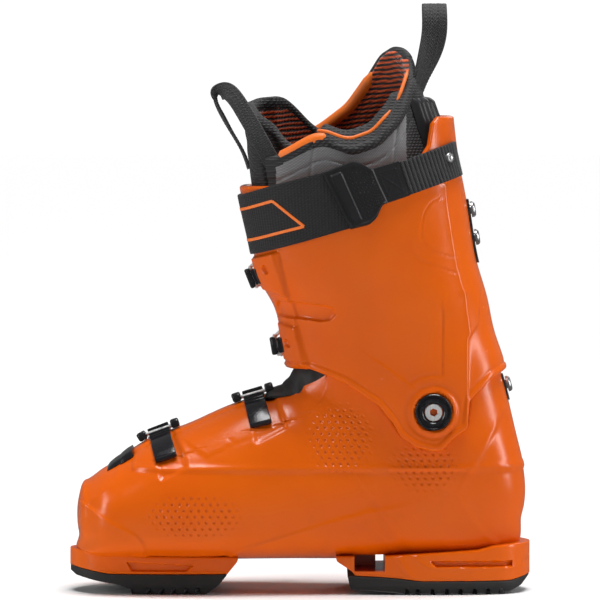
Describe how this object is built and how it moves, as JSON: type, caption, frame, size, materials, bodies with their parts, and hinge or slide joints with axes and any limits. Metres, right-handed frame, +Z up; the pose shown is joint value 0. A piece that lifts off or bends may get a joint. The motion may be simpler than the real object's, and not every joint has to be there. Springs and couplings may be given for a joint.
{
  "type": "alpine ski boot",
  "caption": "Buckled right-foot alpine ski boot: rigid lower shell, hinged cuff, padded liner, power strap, over-centre buckles and rubber sole pads.",
  "frame": {"origin": "mid-sole mark: halfway along the sole, on the centre line, at the ground", "axes": "+X to the toe, +Y to the inner (medial) side of this right boot, +Z up"},
  "size_m": [0.3066, 0.1191, 0.393],
  "materials": {
    "shell_orange": "satin injection-moulded polyurethane",
    "black_plastic": "fine moulded texture",
    "black_clip": "satin",
    "black_metal": "black anodised, satin",
    "lever_black": "black anodised, satin",
    "wire_steel": "drawn wire",
    "board_plastic": "moulded",
    "insole_fabric": "felt",
    "liner_fabric": "padded synthetic",
    "gasket_rubber": "soft matte",
    "sole_rubber": "matte tread",
    "screw_steel": "turned",
    "pivot_chrome": "polished",
    "strap_webbing": "dense woven webbing",
    "strap_elastic": "ribbed elastic",
    "loop_webbing": "woven tape"
  },
  "bodies": {
    "shell": {"lower_shell": "shell_orange", "boot_board": "board_plastic", "insole": "insole_fabric", "liner_foot": "liner_fabric", "instep_gasket": "gasket_rubber", "toe_seal": "black_plastic", "toe_sole": "sole_rubber", "heel_sole": "sole_rubber", "toe_sole_screws": "screw_steel", "heel_sole_screws": "screw_steel", "toe_ladder": "black_metal", "instep_ladder": "black_metal", "toe_buckle_base": "black_metal", "instep_buckle_base": "black_metal", "shell_rivets": "screw_steel", "shell_lever_pins": "screw_steel", "medial_pivot_nut": "screw_steel", "lateral_pivot_nut": "screw_steel", "medial_pivot_screw": "pivot_chrome", "lateral_pivot_screw": "pivot_chrome", "heel_bolt": "screw_steel", "heel_bolt_washer": "black_plastic"},
    "cuff": {"cuff_lever_pins": "screw_steel", "cuff_rivets": "screw_steel", "cuff_shell": "shell_orange", "front_pull_loop": "loop_webbing", "lateral_pivot_washer": "black_plastic", "liner_shaft": "liner_fabric", "liner_tongue": "liner_fabric", "lower_cuff_buckle_base": "black_metal", "lower_cuff_ladder": "black_metal", "medial_pivot_washer": "black_plastic", "power_strap": "strap_webbing", "rear_pull_loop": "loop_webbing", "rear_spoiler": "black_plastic", "spine_bolts": "screw_steel", "spine_plate": "black_plastic", "strap_elastic": "strap_elastic", "strap_plate": "black_plastic", "strap_rivets": "screw_steel", "upper_cuff_buckle_base": "black_metal", "upper_cuff_ladder": "black_metal"},
    "toe_lever": {"toe_lever": "lever_black"},
    "toe_bail": {"toe_bail_wire": "wire_steel", "toe_bail_clips": "black_clip"},
    "instep_lever": {"instep_lever": "lever_black"},
    "instep_bail": {"instep_bail_wire": "wire_steel", "instep_bail_clips": "black_clip"},
    "lower_cuff_lever": {"lower_cuff_lever": "lever_black"},
    "lower_cuff_bail": {"lower_cuff_bail_wire": "wire_steel", "lower_cuff_bail_clips": "black_clip"},
    "upper_cuff_lever": {"upper_cuff_lever": "lever_black"},
    "upper_cuff_bail": {"upper_cuff_bail_wire": "wire_steel", "upper_cuff_bail_clips": "black_clip"}
  },
  "joints": [
    {"name": "cuff_flex", "type": "hinge", "parent": "shell", "child": "cuff", "pos_m": [-0.088, 0, 0.122], "axis": [0, 1, 0], "range_deg": [0, 5], "stiffness_Nm_per_rad": 350, "deforming": ["instep_gasket"]},
    {"name": "toe_lever_hinge", "type": "hinge", "parent": "shell", "child": "toe_lever", "pos_m": [0.09104, -0.03544, 0.09925], "axis": [-0.9455, 0, 0.3256], "range_deg": [0, 105]},
    {"name": "toe_bail_hinge", "type": "hinge", "parent": "toe_lever", "child": "toe_bail", "pos_m": [0.0883, -0.04593, 0.09129], "axis": [-0.9455, 0, 0.3256], "range_deg": [-136.5, 0]},
    {"name": "instep_lever_hinge", "type": "hinge", "parent": "shell", "child": "instep_lever", "pos_m": [0.02708, -0.03623, 0.11732], "axis": [-0.9613, 0, 0.2756], "range_deg": [0, 105]},
    {"name": "instep_bail_hinge", "type": "hinge", "parent": "instep_lever", "child": "instep_bail", "pos_m": [0.02427, -0.04392, 0.10753], "axis": [-0.9613, 0, 0.2756], "range_deg": [-136.5, 0]},
    {"name": "lower_cuff_lever_hinge", "type": "hinge", "parent": "cuff", "child": "lower_cuff_lever", "pos_m": [-0.00902, -0.04297, 0.17209], "axis": [0.3746, 0, 0.9272], "range_deg": [0, 90]},
    {"name": "lower_cuff_bail_hinge", "type": "hinge", "parent": "lower_cuff_lever", "child": "lower_cuff_bail", "pos_m": [-0.01938, -0.04885, 0.17627], "axis": [0.3746, 0, 0.9272], "range_deg": [-117, 0]},
    {"name": "upper_cuff_lever_hinge", "type": "hinge", "parent": "cuff", "child": "upper_cuff_lever", "pos_m": [0.00653, -0.04573, 0.21745], "axis": [0.309, 0, 0.9511], "range_deg": [0, 105]},
    {"name": "upper_cuff_bail_hinge", "type": "hinge", "parent": "upper_cuff_lever", "child": "upper_cuff_bail", "pos_m": [-0.00432, -0.05167, 0.22098], "axis": [0.309, 0, 0.9511], "range_deg": [-136.5, 0]}
  ],
  "couplings": [
    {"joint": "toe_bail_hinge", "follows": "toe_lever_hinge", "ratio": -1.3},
    {"joint": "instep_bail_hinge", "follows": "instep_lever_hinge", "ratio": -1.3},
    {"joint": "lower_cuff_bail_hinge", "follows": "lower_cuff_lever_hinge", "ratio": -1.3},
    {"joint": "upper_cuff_bail_hinge", "follows": "upper_cuff_lever_hinge", "ratio": -1.3}
  ]
}
